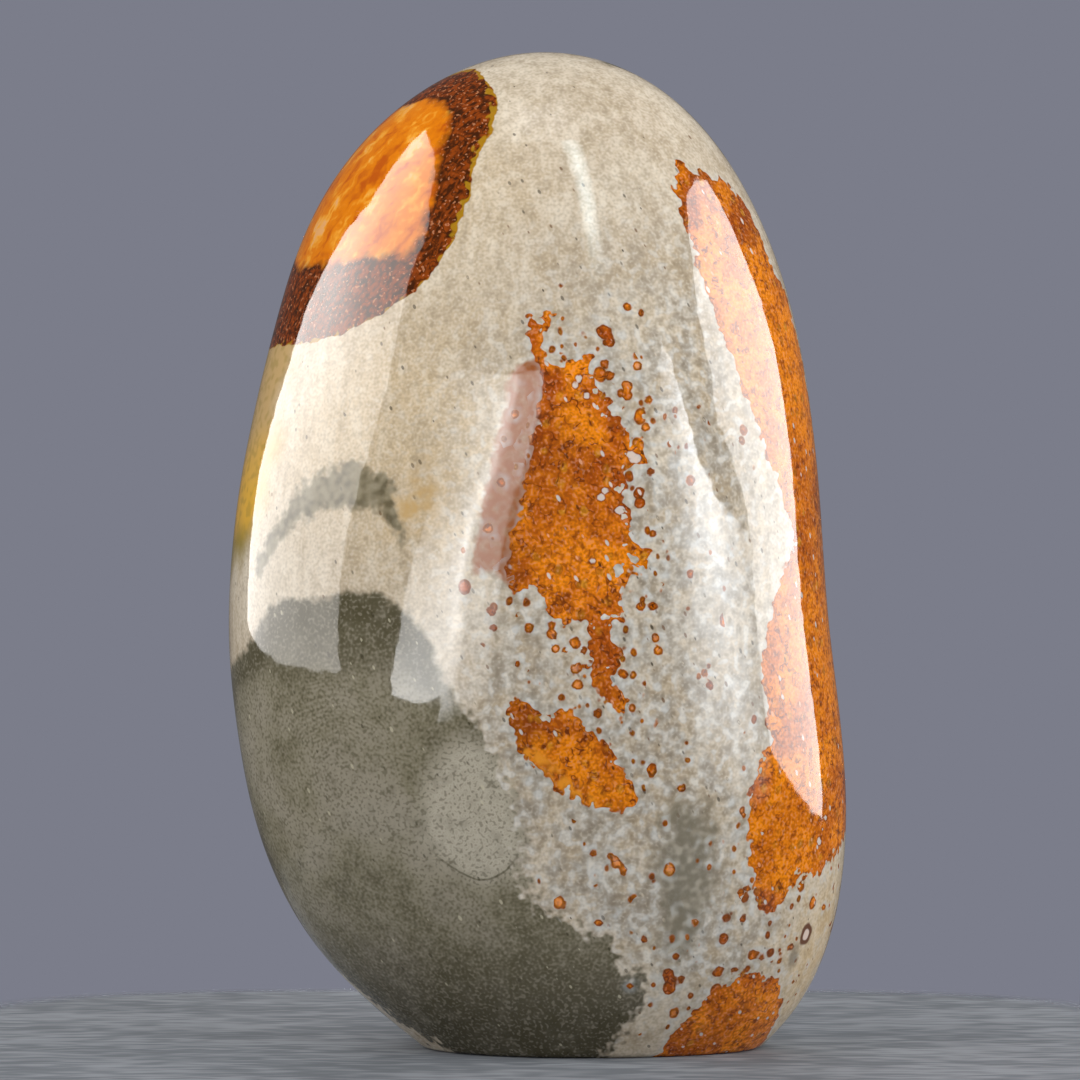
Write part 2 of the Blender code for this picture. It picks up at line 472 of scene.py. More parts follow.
def skin_reach(azimuth, polar):
    """The stone's reach in mm in any direction."""
    right, left, face, back = (
        reach_round(outline, way * polar) ** -2.0
        for outline, way in (
            (FRONT_OUTLINE, 1), (FRONT_OUTLINE, -1), (SIDE_OUTLINE, 1), (SIDE_OUTLINE, -1)))
    mean = (right + left + face + back) / 4
    blend = mean + (right - left) / 2 * np.cos(azimuth) - (face - back) / 2 * np.sin(azimuth)
    blend += (right + left - face - back) / 4 * np.cos(2 * azimuth)
    blend += SQUARENESS * mean * np.sin(polar) ** 4 * (np.cos(4 * azimuth) - 1)
    ways = direction(azimuth, polar)
    ground_off = np.zeros_like(mean)
    for facing, rise, depth, spread in GRINDING_FLATS:
        centre = direction(math.radians(facing - 90), math.radians(90 - rise))
        off_centre = np.arccos(np.clip(ways @ centre, -1, 1))
        ground_off += depth * np.exp(-((off_centre / math.radians(spread)) ** 2))
    return blend**-0.5 - ground_off


def polar_at(azimuth, height):
    """The angle down from the crown at which the skin is at this height, found by halving."""
    low, high = np.zeros_like(azimuth), np.full_like(azimuth, math.radians(179))
    for _ in range(30):
        middle = (low + high) / 2
        above = HEART_HEIGHT + skin_reach(azimuth, middle) * np.cos(middle) > height
        low, high = np.where(above, middle, low), np.where(above, high, middle)
    return (low + high) / 2


def skin_points(azimuth, polar):
    """Points of the skin in mm, measured from the floor under the heart."""
    points = direction(azimuth, polar) * skin_reach(azimuth, polar)[..., None]
    return points + np.array([0, 0, HEART_HEIGHT])


# %% [markdown]
# ## The fine mesh
#
# The skin's points are taken in rings, from the crown down to the foot's rim. Between two rings
# lie quads, the crown is closed with triangles, and the foot is one flat face, as a lapidary cuts
# it. Its edge is marked for a bevel that eases it, because a sharp edge of quartz would chip.

# %% Points of the skin
FACETS_ROUND = 420
RINGS = 232

lines = np.arange(FACETS_ROUND) / FACETS_ROUND * 2 * math.pi
falls = np.arange(1, RINGS + 1)[:, None] / RINGS
azimuth, polar = np.broadcast_arrays(lines, falls * polar_at(lines, 0.0))
rings = skin_points(azimuth, polar).reshape(-1, 3)
crown = skin_points(np.zeros(1), np.zeros(1))
points = np.concatenate([rings, crown])
box_middle = (points.min(axis=0) + points.max(axis=0)) / 2 * np.array([1, 1, 0])
points -= box_middle
print("fine mesh:", np.round(points.max(axis=0) - points.min(axis=0), 2), "mm")

# %% [markdown]
# ## A little unevenness
#
# A hand-held stone against a soft wheel never comes out as pure as a formula. Two gentle swells, a
# few hundredths of a millimetre high, are enough to make the edges of the reflections wander, as
# they do on the real stone.

# %% Swells left by hand polishing
SWELLS = ((26.0, 0.050), (11.0, 0.012))
CALM_NEAR_FOOT = 6.0

outward = points - np.array([0, 0, HEART_HEIGHT])
outward /= np.linalg.norm(outward, axis=1, keepdims=True)
swell = np.array([
    sum(height * noise.noise(Vector(point) / size) for size, height in SWELLS) for point in points
])
swell *= np.clip(points[:, 2] / CALM_NEAR_FOOT, 0, 1)
uneven = (points + outward * swell[:, None]) * MM

# %% [markdown]
# ## Faces and a map
#
# Each corner of each face also gets a place on a flat map, unrolled like a globe's, so that the
# stone's colours can be kept in one picture later. The foot has a small round place of its own.

# %% Faces
MAP_FOOT_MIDDLE = (0.06, 0.06)
MAP_FOOT_RADIUS = 0.05
MAP_SKIN_START = 0.13

start = np.arange(FACETS_ROUND)
after = (start + 1) % FACETS_ROUND
upper = (np.arange(RINGS - 1) * FACETS_ROUND)[:, None]
lower = upper + FACETS_ROUND
quads = np.stack([upper + start, lower + start, lower + after, upper + after], axis=-1)
cap = np.stack([np.full(FACETS_ROUND, len(points) - 1), start, after], axis=-1)
foot_face = (RINGS - 1) * FACETS_ROUND + start[::-1]
faces = quads.reshape(-1, 4).tolist() + cap.tolist() + [foot_face.tolist()]

stone_mesh = bpy.data.meshes.new("jasper_freeform")
stone_mesh.from_pydata(uneven.tolist(), [], faces)

# %% Map
across = np.stack([start, start, start + 1, start + 1], axis=-1) / FACETS_ROUND
down = np.arange(RINGS - 1)[:, None, None] + np.array([1, 2, 2, 1])
up_map = 1 - down / RINGS * (1 - MAP_SKIN_START)
quad_map = np.stack(np.broadcast_arrays(across[None], up_map), axis=-1)
cap_map = np.stack(
    [np.stack([start + 0.5, start, start + 1], axis=-1) / FACETS_ROUND,
     np.broadcast_to([1, up_map[0, 0, 0], up_map[0, 0, 0]], (FACETS_ROUND, 3))], axis=-1)
foot_turn = lines[::-1, None]
foot_map = MAP_FOOT_MIDDLE + MAP_FOOT_RADIUS * np.hstack([np.cos(foot_turn), np.sin(foot_turn)])
flat_map = stone_mesh.uv_layers.new(name="OFBake")
flat_map.data.foreach_set("uv", np.concatenate(
    [quad_map.reshape(-1, 2), cap_map.reshape(-1, 2), foot_map]).astype(np.float32).ravel())

# %% Smooth shading and the eased edge
RIM_EASE = 0.9 * MM

stone_mesh.shade_smooth()
shape = bmesh.new()
shape.from_mesh(stone_mesh)
ease = shape.edges.layers.float.new("bevel_weight_edge")
shape.faces.ensure_lookup_table()
for edge in shape.faces[-1].edges:
    edge[ease] = 1.0
shape.to_mesh(stone_mesh)
shape.free()

stone = bpy.data.objects.new("jasper_freeform", stone_mesh)
bpy.context.scene.collection.objects.link(stone)
bevel = stone.modifiers.new("eased foot edge", "BEVEL")
bevel.width = RIM_EASE
bevel.segments = 3
bevel.limit_method = "WEIGHT"
print("faces:", len(stone_mesh.polygons))

# %% [markdown]
# ## Where the markings lie
#
# Each marking is an outline of a few points: the turn round the stone in degrees, 0 in the middle
# of the show face and positive to its right, and the height in mm. Those on the show face were
# placed from the photograph, and those on the back are a guess in the same manner. The mesh
# keeps, at each of its points, how far it lies from each outline, and the finish does the rest: a
# border can then be as ragged or as smooth as the stone's own.

# %% Outlines of the upper left eye
EYE = (
    (-58, 195.5), (-38, 193), (-25, 189.5), (-20.5, 186), (-21.5, 180), (-24, 174), (-24.5, 167),
    (-27, 160), (-31, 154.5), (-36, 150), (-43, 146.5), (-51, 143), (-60, 141), (-72, 140.5),
    (-86, 140), (-102, 143), (-116, 150), (-125, 160), (-126, 172), (-116, 184), (-98, 192),
    (-78, 195.5),
)
EYE_HEART = (
    (-57, 189), (-47, 187), (-40.5, 183), (-39.5, 178), (-36.5, 172), (-36, 165), (-38, 158.5),
    (-45, 157), (-58, 156.5), (-70, 155.5), (-80, 156), (-92, 158), (-104, 163), (-109, 170),
    (-103, 180), (-88, 187), (-70, 189.5),
)

# %% Outlines of the iron-stained patches
CENTRE_PATCH = (
    (-2.5, 145.5), (0, 144), (2.5, 146.5), (3.5, 145), (1.5, 140), (3, 137), (6.5, 135.5), (12, 137.5),
    (15.5, 138.5), (15.5, 134), (17.5, 130), (20, 128.5), (18.5, 126), (23, 124), (26.5, 120.5),
    (27, 116.5), (22, 116), (23, 112.5), (21, 109), (23.5, 106.5), (24, 102), (27.5, 99), (26.5, 95.5),
    (22.5, 95.5), (20.5, 91), (22.5, 86), (18.5, 85.5), (19.5, 79), (20, 75), (22.5, 70.5), (21, 68.5),
    (15.5, 72.5), (12.5, 76.5), (13.5, 82), (12.5, 86.5), (6, 86.5), (2, 88.5), (0, 92.5), (-5, 91.5),
    (-7.5, 95), (-6.5, 101), (-4, 108), (-2, 118), (0, 128), (1, 134.5), (-2.5, 139),
)
VEIL = (
    (1, 137), (-2, 136.5), (-6, 135), (-8.5, 129), (-10.5, 121), (-13, 112), (-15, 104), (-16, 96),
    (-11, 95.5), (-6, 93), (-3, 100), (-1, 110), (1, 122), (3, 130),
)
AMBER_VEIN = (
    (-4.5, 61.5), (-1, 62.5), (3, 59.5), (8, 56), (14, 53.5), (17, 51), (16, 49.8), (10, 51.5),
    (4, 55), (-1, 58),
)
SIDE_PATCH = (
    (62, 175), (58, 173), (55, 176), (50, 172.5), (48.5, 168), (48.5, 158), (50, 147), (53, 137),
    (56, 128), (59.5, 119), (62.5, 112), (65, 106.5), (66.5, 101), (62.5, 97), (59.5, 92), (56, 85),
    (54.5, 74.5), (55.5, 63), (53, 57), (51.5, 47.5), (53.5, 39.5), (56.5, 31.5), (60.5, 29), (64, 33),
    (66, 37), (71, 35), (79, 40.5), (88, 44), (97, 52), (103, 62), (107, 74), (103, 90), (96, 104),
    (90, 112), (86, 121), (85, 130), (84, 141), (82.5, 151), (78, 157), (76.5, 168), (70.5, 173.5),
    (66, 173.5),
)
LOW_PATCH = (
    (-6.5, 70), (-3, 71.5), (0, 70), (2, 67.5), (5, 69.5), (9, 69.5), (12.5, 66), (18, 62), (23, 57),
    (25.5, 53), (25, 50), (16.5, 49.5), (10, 51.5), (3.5, 55.5), (-2, 58.5), (-5.5, 62.5), (-7, 66.5),
)
FOOT_PATCH = (
    (46, -4), (48, 1), (49, 6), (51.5, 11), (55, 13.5), (59, 17), (65, 16), (70, 15), (75, 9), (80, 4),
    (84, -4),
)
BACK_PATCH = (
    (186, 118), (200, 127), (212, 121), (219, 104), (214, 88), (206, 77), (203, 62), (194, 51), (185, 60),
    (181, 78), (178, 92), (179, 107),
)
BACK_LOW_PATCH = ((138, 54), (149, 51), (158, 43), (161, 33), (152, 27), (141, 32), (135, 44))

# %% Outlines of the olive and grey clays
PALE_DISC = (
    (-31, 48), (-26, 58), (-18, 62), (-10, 58), (-6, 50), (-5, 43), (-9, 38), (-17, 36), (-25, 38.5),
    (-30, 42),
)
OLIVE_CLAY = (
    (-84, 76), (-76, 78.5), (-70, 82), (-66.5, 86.5), (-60, 90.5), (-51, 90), (-44.5, 92), (-38, 91.5),
    (-33, 89), (-28.5, 85.5), (-25, 80), (-21, 72.5), (-15.5, 66), (-10.5, 59), (-6.5, 52), (-3, 44),
    (-4, 37), (-1, 32), (5, 28.5), (13, 26), (22, 24.5), (27, 18.5), (34, 15.5), (37, 10), (32, 4),
    (26, -6), (0, -8), (-30, -8), (-50, -6), (-57, 1.5), (-69, 5), (-79, 12), (-88, 20), (-97, 36),
    (-101, 54), (-95, 70),
)
BACK_CLAY = (
    (108, -8), (108, 16), (116, 34), (128, 40), (140, 62), (158, 66), (174, 54), (186, 34), (192, 12),
    (190, -8), (150, -8),
)
ARCH = (
    (-70, 95), (-66, 101.5), (-61.5, 107.5), (-57.5, 112), (-51, 115.5), (-44, 117), (-38, 114.5),
    (-34.5, 109.5), (-32.5, 102), (-35, 102.5), (-37.5, 107), (-44, 108), (-51, 107.5), (-57, 105),
    (-62, 101.5), (-67, 95),
)
CROWN_CLAY = (
    (66, 197.3), (86, 195.3), (88, 191), (84, 184), (92, 176), (112, 170), (134, 176), (142, 186),
    (120, 194), (92, 197.5),
)
GREY_CLOUD = (
    (36, 50.5), (41, 49), (45, 39.5), (46, 30), (44, 22), (39, 21), (35, 29), (32.5, 37), (33, 45),
)
GOLDEN_SIDE = (
    (-66, 150), (-66, 134), (-65, 118), (-66, 104), (-74, 95), (-88, 94), (-104, 102), (-116, 118),
    (-114, 136), (-96, 148),
)

# %% [markdown]
# ## Distances to the outlines
#
# A closed smooth curve is drawn through an outline's points and laid on the skin. The distance to
# it is the shortest one to any of its short stretches, and it counts as negative for points that
# lie inside, which is decided on the flat map of turn and height by counting crossings. Beyond
# FAR mm nothing depends on the distance, so there it isn't measured.

# %% Measure each marking
CURVE_STEPS = 4
FAR = 12.0


def smooth_loop(outline):
    """A closed curve through the outline's points, with CURVE_STEPS short stretches between two."""
    knots = np.array(outline, float)
    t = (np.arange(CURVE_STEPS) / CURVE_STEPS)[None, :, None]
    before, after, beyond = (np.roll(knots, shift, axis=0)[:, None] for shift in (1, -1, -2))
    here = knots[:, None]
    pull = (after - before) / 2, (beyond - here) / 2
    curve = (
        (2 * t**3 - 3 * t**2 + 1) * here + (t**3 - 2 * t**2 + t) * pull[0]
        + (3 * t**2 - 2 * t**3) * after + (t**3 - t**2) * pull[1]
    )
    return curve.reshape(-1, 2)


def on_skin(loop):
    """The loop's points on the skin, in the same frame as the mesh, in mm."""
    wanted = np.radians(loop[:, 0] - 90)
    azimuth = wanted.copy()
    for _ in range(3):
        spots = skin_points(azimuth, polar_at(azimuth, loop[:, 1])) - box_middle
        astray = wanted - np.arctan2(spots[:, 1], spots[:, 0])
        azimuth += (astray + math.pi) % (2 * math.pi) - math.pi
    return spots


def distance_to(outline):
    """The distance in mm from each mesh point to an outline, negative inside it."""
    loop = smooth_loop(outline)
    start = on_skin(loop)
    along = np.roll(start, -1, axis=0) - start
    length_squared = (along**2).sum(axis=1)
    middle = start.mean(axis=0)
    span = np.linalg.norm(start - middle, axis=1).max()
    close = np.linalg.norm(points - middle, axis=1) < span + FAR
    near_points = points[close]
    shortest = np.full(len(near_points), FAR**2)
    for first, step, squared in zip(start, along, length_squared):
        offset = near_points - first
        t = np.clip(offset @ step / squared, 0, 1)
        shortest = np.minimum(shortest, ((offset - t[:, None] * step) ** 2).sum(axis=1))
    nearest = np.full(len(points), FAR**2)
    nearest[close] = shortest
    turn = np.degrees(np.arctan2(points[:, 0], -points[:, 1]))
    middle_turn = loop[:, 0].mean()
    turn = middle_turn + (turn - middle_turn + 180) % 360 - 180
    inside = np.zeros(len(points), bool)
    for (turn_a, height_a), (turn_b, height_b) in zip(loop, np.roll(loop, -1, axis=0)):
        if height_a == height_b:
            continue
        crosses = (points[:, 2] < height_a) != (points[:, 2] < height_b)
        reached = turn_a + (points[:, 2] - height_a) / (height_b - height_a) * (turn_b - turn_a)
        inside ^= crosses & (turn < reached)
    return np.sqrt(nearest) * np.where(inside, -1, 1)


MARKINGS = {
    "eye": (EYE,),
    "eye_heart": (EYE_HEART,),
    "iron": (CENTRE_PATCH, SIDE_PATCH, LOW_PATCH, FOOT_PATCH, BACK_PATCH, BACK_LOW_PATCH),
    "veil": (VEIL,),
    "vein": (AMBER_VEIN,),
    "disc": (PALE_DISC,),
    "olive": (OLIVE_CLAY, BACK_CLAY),
    "arch": (ARCH, CROWN_CLAY),
    "cloud": (GREY_CLOUD,),
    "golden": (GOLDEN_SIDE,),
}

def store(name, values):
    """Keeps one value for each point of the stone's mesh."""
    layer = stone_mesh.attributes.new(name, "FLOAT", "POINT")
    layer.data.foreach_set("value", values.astype(np.float32))


for name, outlines in MARKINGS.items():
    nearest = np.min([distance_to(outline) for outline in outlines], axis=0)
    store(name, nearest)
    print(f"{name}: {np.mean(nearest < 0):.1%} of the mesh")

# %% [markdown]
# ## Drops and soft spots
#
# Round the patches the iron set in separate drops. The larger ones on the show face have a place
# of their own here, each with a turn, a height and a radius in mm. The soft spots say where fine
# spray is thick, and where the cream turns warmer, cooler or rustier. They have a strength as well.

# %% Larger drops
DROPS = (
    (26, 147, 0.9), (19, 142, 1.5), (20, 140, 1.2), (18.5, 136, 1.1), (19.5, 133.5, 1), (6.5, 138, 0.8),
    (27, 135.5, 1), (24, 131.5, 1.1), (23.5, 130, 1.1), (29.5, 129, 0.9), (28, 123.5, 0.9),
    (28.5, 115, 0.9), (25.5, 111, 1.1), (25.5, 109, 1), (28.5, 103, 0.8), (-2, 85, 1.1),
    (3.5, 85.5, 1), (3.5, 84, 1.1), (9.5, 82, 1.1), (4.5, 81, 0.8), (20, 80, 1.1), (21, 76, 1.1),
    (25.5, 89, 0.9), (28.5, 89, 0.8), (29, 83, 0.9), (29.5, 80.5, 0.9), (9.5, 77, 1), (10, 74, 1),
    (-11.5, 88, 0.9), (-11, 85, 0.8), (40.5, 76, 0.9), (41.5, 73.5, 0.8), (15, 68.5, 0.9),
    (15.5, 41.5, 0.9), (20.5, 40.5, 1.1), (22, 39.3, 1.1), (24, 38, 1), (36, 54, 0.9), (50.5, 48.5, 0.8),
    (54, 34, 0.9), (7.5, 31.5, 1), (18.5, 27.5, 1), (43.5, 27.5, 0.9), (31.5, 24.5, 0.8), (30.5, 15, 0.9),
    (40.5, 17, 1.4), (42, 14.5, 1.5), (44, 16, 1), (53, 17.5, 1.2), (56.5, 17.5, 1), (59.5, 20.5, 1.2),
    (62, 20.2, 1.1), (68.5, 21.5, 0.9), (66.5, 20, 0.8), (54.5, 28, 0.8), (76, 29, 0.8), (74, 14, 0.8),
    (-9, 113, 0.9), (-12.5, 104, 1.1), (-6, 126, 0.8),
)

CRYSTALS = (
    (16, 110, 1.0), (17, 111.3, 0.7), (20.5, 107.5, 0.8), (23.5, 118, 0.9), (25, 117.3, 0.9),
    (22, 122.5, 0.7), (10, 131.5, 0.7), (11, 133, 0.7), (13, 129.5, 0.6), (5, 103, 0.5), (14, 98, 0.6), (72, 47, 0.9),
    (70.5, 42.5, 0.8), (71.5, 45, 0.5),
)

# %% Soft spots
SPRAY = (
    (25, 122, 15, 1.0), (27, 100, 13, 1.0), (26, 78, 13, 0.9), (6, 82, 11, 0.8), (14, 142, 8, 0.6),
    (-12, 92, 8, 0.5), (30, 60, 11, 0.5), (48, 60, 8, 0.5), (47, 44, 9, 0.9), (54, 24, 15, 1.0),
    (36, 18, 12, 0.8), (18, 34, 12, 0.4), (76, 24, 14, 0.9), (60, 34, 8, 1.0), (204, 92, 32, 0.9),
    (150, 44, 24, 0.9), (96, 60, 22, 0.5), (4, 58, 6, 0.6),
)
COOL = (
    (22, 108, 34, 1.0), (34, 70, 26, 1.0), (10, 70, 20, 0.8), (5, 50, 16, 0.6), (45, 140, 26, 0.6),
    (28, 40, 22, 1.0), (50, 24, 16, 0.9),
    (150, 110, 40, 0.7),
)
WARM = (
    (-36, 128, 22, 0.9), (-24, 110, 18, 0.9), (-62, 120, 16, 0.4), (-26, 170, 18, 0.6), (80, 22, 14, 0.8),
    (-120, 60, 40, 0.8), (90, 130, 30, 0.5), (86, 18, 18, 1.0),
)
RUSTY = (
    (-4, 66, 5, 0.9), (-9, 97, 5, 0.9), (50, 168, 5, 0.6), (62, 175, 5, 0.7),
    (16, 70, 7, 0.4), (2, 118, 9, 0.5), (74, 166, 9, 0.6), (84, 108, 8, 0.7),
)
BRIGHT = (
    (8, 100, 9, 0.9), (76, 142, 16, 1.0), (84, 124, 14, 1.0), (84, 82, 20, 1.0), (14, 53, 5, 0.9),
    (64, 44, 12, 0.7), (62, 4, 12, 0.5),
    (205, 100, 12, 0.8),
)
DASHED = ((31, 72, 14, 1.0), (28, 88, 9, 0.8), (34, 100, 10, 0.5), (22, 62, 10, 0.7), (18, 160, 20, 0.3))
RIPPLED = ((-54, 68, 13, 1.0), (-36, 66, 8, 0.5), (-18, 30, 10, 0.3))
SCUFFED = ((-52, 18.5, 4.5, 1.0), (-66, 44, 3.5, 0.8), (-21.5, 27, 3.5, 0.8), (-41, 84, 6, 0.7))
TAN_SPOT = ((-30.5, 107.5, 4.5, 1.0), (-27, 113, 5, 0.6), (-90, 96, 10, 0.3), (84, 20, 13, 0.6))


def soft_spots(spots):
    """The sum of soft spots at each mesh point, at most 1."""
    amount = np.zeros(len(points))
    for turn, height, radius, strength in spots:
        centre = on_skin(np.array([[turn, height]], float))[0]
        squared = ((points - centre) ** 2).sum(axis=1) / radius**2
        amount += strength * np.exp(-squared)
    return np.minimum(amount, 1)


def round_spots(spots):
    """How far each corner is outside the nearest of these (turn, height, radius) spots, in mm."""
    places = on_skin(np.array(spots)[:, :2])
    return np.min([
        np.linalg.norm(points - place, axis=1) - spot[2] for place, spot in zip(places, spots)
    ], axis=0)


store("drops", round_spots(DROPS))
store("crystals", round_spots(CRYSTALS))
for name, spots in (
    ("spray", SPRAY), ("cool", COOL), ("warm", WARM), ("rusty", RUSTY), ("bright", BRIGHT),
    ("dashed", DASHED), ("tan_spot", TAN_SPOT), ("rippled", RIPPLED), ("scuffed", SCUFFED),
):
    store(name, soft_spots(spots))

# %% [markdown]
# ## The finish: cream silica
#
# The body of the stone is a fine mosaic of quartz grains, cream to ash grey. From close by it is
# salt and pepper; from an arm's length it is one soft colour that drifts from warm to cool. So the
# finish starts with slow drifts, adds grain at a third of a millimetre, and ends with sparse dark
# specks, pale flecks and faint slanting dashes. Noise is dear to render, so the few noises made
# here serve the other finishes too.

# %% Colours of the silica
jasper = bpy.data.materials.new("polychrome_jasper")
web = Web(jasper)

CREAM = paint(204, 188, 165)
PALE_CREAM = paint(214, 200, 178)
SAND = paint(180, 163, 136)
WARM_CREAM = paint(212, 189, 153)
ASH = paint(178, 170, 157)
ASH_BLUE = paint(186, 188, 188)
GRAIN_DARK = paint(120, 104, 80)
GRAIN_PALE = paint(240, 230, 212)
DASH = paint(104, 94, 78)
SPECK = paint(46, 38, 28)
RUST_BROWN = paint(104, 64, 28)

# %% Cream silica
drift = web.cloud(9.0, 2, 0.6, seed=67, reach=3)
mottle = web.cloud(2.2, 2, 0.65, seed=11, reach=4)
fine = web.cloud(0.8, 0, seed=13, reach=2.6)
coarse = web.calc("MULTIPLY_ADD", web.mark("cool"), 0.34, 0.15)
brushed = web.cloud(1.0, 0, seed=17, place=web.stretched(1.0, 7.0, -3), reach=3)
body = web.blend(web.fade(drift, 0.9, -0.7), CREAM, PALE_CREAM)
body = web.blend(web.fade(web.total(drift, mottle), -2.6, 0.8, 0.6), body, SAND)
body = web.blend(web.times(web.mark("warm"), 0.8), body, WARM_CREAM)
cool_share = web.times(web.mark("cool"), web.fade(mottle, 1.0, -1.2))
body = web.blend(cool_share, body, ASH)
blue_share = web.times(web.mark("cool"), web.fade(fine, 1.3, 0.2))
body = web.blend(web.times(blue_share, 0.8), body, ASH_BLUE)

grain = web.cloud(0.30, 0, seed=5, reach=2.6)
body = web.blend(web.fade(brushed, -1.6, 0.4, 0.16), body, GRAIN_DARK)
body = web.blend(web.fade(brushed, 1.6, 0.0, 0.24), body, GRAIN_PALE)
body = web.blend(web.times(web.fade(fine, -1.6, 0.2), coarse), body, GRAIN_DARK)
body = web.blend(web.times(web.fade(fine, 1.6, 0.2), coarse), body, GRAIN_PALE)
body = web.blend(web.fade(grain, -1.3, 0.2, 0.22), body, GRAIN_DARK)
body = web.blend(web.fade(grain, 1.4, 0.2, 0.24), body, GRAIN_PALE)

# %% Dashes and specks
dash_chance = web.total(web.times(web.mark("dashed"), 0.6), web.times(web.mark("spray"), 0.2), 0.05)
apart, luck, bulk, kind = web.cells(1.45, seed=23, place=web.stretched(1.0, 2.1, -28))
dashes = web.specks((apart, luck, bulk, kind), 0.32, dash_chance)
body = web.scatter(body, dashes, DASH, RUST_BROWN, 0.7)
speck_chance = web.total(
    web.times(web.mark("cool"), 0.2), web.times(web.mark("scuffed"), 0.7), 0.22)
fleck_points = apart, kind, luck, bulk
flecks = web.specks(fleck_points, 0.34, speck_chance)
body = web.scatter(body, flecks, SPECK, PALE_CREAM, 0.65)

# %% [markdown]
# ## The finish: golden side and clays
#
# On the left edge the silica is stained tan and gold, with no border. The olive clay below it has
# one: from close by its grains and the cream's interlock over about a millimetre. A ragged border
# comes from adding noise to the distance before asking whether it is negative.

# %% Colours of the clays
TAN = paint(200, 166, 112)
GOLD = paint(226, 174, 62)
MOSS = paint(150, 130, 56)
OLIVE = paint(142, 135, 112)
OLIVE_DARK = paint(80, 74, 52)
OLIVE_DEEP = paint(58, 52, 34)
OLIVE_PALE = paint(160, 152, 134)
DISC_GREY = paint(196, 188, 170)
CHIP = paint(206, 198, 172)
ARCH_GREY = paint(134, 126, 102)
CLOUD_GREY = paint(122, 116, 100)

# %% Golden side
rough_edge = web.cloud(1.8, 2, 0.7, seed=41, reach=3)
golden = web.total(web.mark("golden"), web.times(drift, 2.3))
height = web.tree.nodes.new("ShaderNodeSeparateXYZ")
web.put(height.inputs[0], web.place)
height = height.outputs[2]
uneven_height = web.total(height, web.times(drift, 2.3))
gold_tint = web.blend(web.fade(uneven_height, 110, 128), TAN, GOLD)
gold_tint = web.blend(web.fade(uneven_height, 101, 109), gold_tint, MOSS)
gold_tint = web.blend(web.fade(fine, -1.3, 0.3, 0.4), gold_tint, MOSS)
body = web.blend(web.fade(golden, -7, 2), body, gold_tint)
tan_share = web.times(web.mark("tan_spot"), web.fade(rough_edge, 1.4, -1.4))
body = web.blend(tan_share, body, TAN)

# %% Grey clay: the arch, the crown and the soft cloud
arch = web.total(web.mark("arch"), web.times(rough_edge, 1.2))
arch_grain = web.blend(web.fade(fine, 1.3, -1.8), OLIVE_DARK, ARCH_GREY)
arch_grain = web.scatter(arch_grain, flecks, CHIP, SPECK, 0.5)
body = web.blend(web.fade(arch, -1.2, 1.2, 0.85), body, arch_grain)
cloud = web.total(web.mark("cloud"), web.times(mottle, 1.7))
cloud_tint = web.blend(web.fade(fine, 1.4, -0.6), CLOUD_GREY, OLIVE_PALE)
body = web.blend(web.fade(cloud, -2.5, 3.2, 0.85), body, cloud_tint)

# %% Olive clay
olive = web.total(web.mark("olive"), web.times(rough_edge, 0.7))
clay = web.blend(web.fade(drift, 1.1, -0.5), OLIVE, OLIVE_PALE)
clay = web.blend(web.fade(drift, -1.5, 0.2, 0.7), clay, OLIVE_DARK)
clay = web.blend(web.fade(uneven_height, 82, 72, 0.7), clay, OLIVE_DARK)
disc = web.total(web.mark("disc"), web.times(drift, 1.3))
clay = web.blend(web.fade(disc, -3.0, 4.0, 0.9), clay, DISC_GREY)
# Painted shade: the clay turns deep olive by height alone towards the foot, partly its own darker clay and partly the
# shade where the stone curves under.
clay = web.blend(web.fade(height, 4, 40, 0.85), clay, OLIVE_DEEP)
disc_line = web.calc("ABSOLUTE", web.total(web.mark("disc"), web.times(fine, 0.05)))
disc_line = web.times(web.fade(disc_line, 0.05, 0.35), web.fade(height, 38, 43))
clay = web.blend(web.times(disc_line, 0.7), clay, OLIVE_DARK)
edge_shade = web.fade(web.calc("ABSOLUTE", web.calc("ADD", web.mark("olive"), 3.5)), 0.5, 5.0)
edge_shade = web.times(edge_shade, web.fade(height, 76, 66))
edge_shade = web.times(edge_shade, web.fade(web.mark("disc"), 5.0, 1.0))
clay = web.blend(web.times(edge_shade, 0.75), clay, OLIVE_DARK)
clay = web.blend(web.fade(rough_edge, -1.7, 0.5, 0.35), clay, OLIVE_DARK)
clay = web.blend(web.fade(rough_edge, 1.7, -0.2, 0.30), clay, OLIVE_PALE)
ripple = web.tree.nodes.new("ShaderNodeTexWave")
ripple.wave_type = "RINGS"
ripple.rings_direction = "SPHERICAL"
RIPPLE_MIDDLE = on_skin(np.array([(-50.0, 56.0)]))[0]
web.put(ripple.inputs["Vector"], web.vector("SUBTRACT", web.place, tuple(RIPPLE_MIDDLE.tolist())))
for name, number in (("Scale", 0.36), ("Distortion", 9.0), ("Detail", 0.0), ("Detail Scale", 0.45)):
    web.put(ripple.inputs[name], number)
ripple_share = web.times(web.fade(ripple.outputs["Fac"], 0.2, 0.8), web.mark("rippled"))
clay = web.blend(web.times(ripple_share, 0.24), clay, OLIVE_DARK)
clay = web.blend(web.fade(grain, -1.4, 0.2, 0.50), clay, OLIVE_DARK)
clay = web.blend(web.fade(grain, 1.5, 0.0, 0.42), clay, OLIVE_PALE)
clay = web.scatter(clay, flecks, CHIP, OLIVE_DEEP, 0.6)
soft_edge = web.total(olive, web.times(mottle, web.fade(height, 62, 74)))
soft_edge = web.total(soft_edge, web.times(fine, web.fade(height, 62, 74)))
body = web.blend(web.fade(soft_edge, -1.1, 0.9), body, clay)

# %% [markdown]
# ## The finish: iron stain and its spray
#
# Iron seeped into the silica and set in rounded drops, and where the drops are thick they run
# together into patches. The finish copies that: scattered points with a radius each make drops,
# the patch outlines make one large drop, and the smaller of the two distances wins. Bands of that
# distance then give the dark rim of each drop and the pale bleached halo outside it.

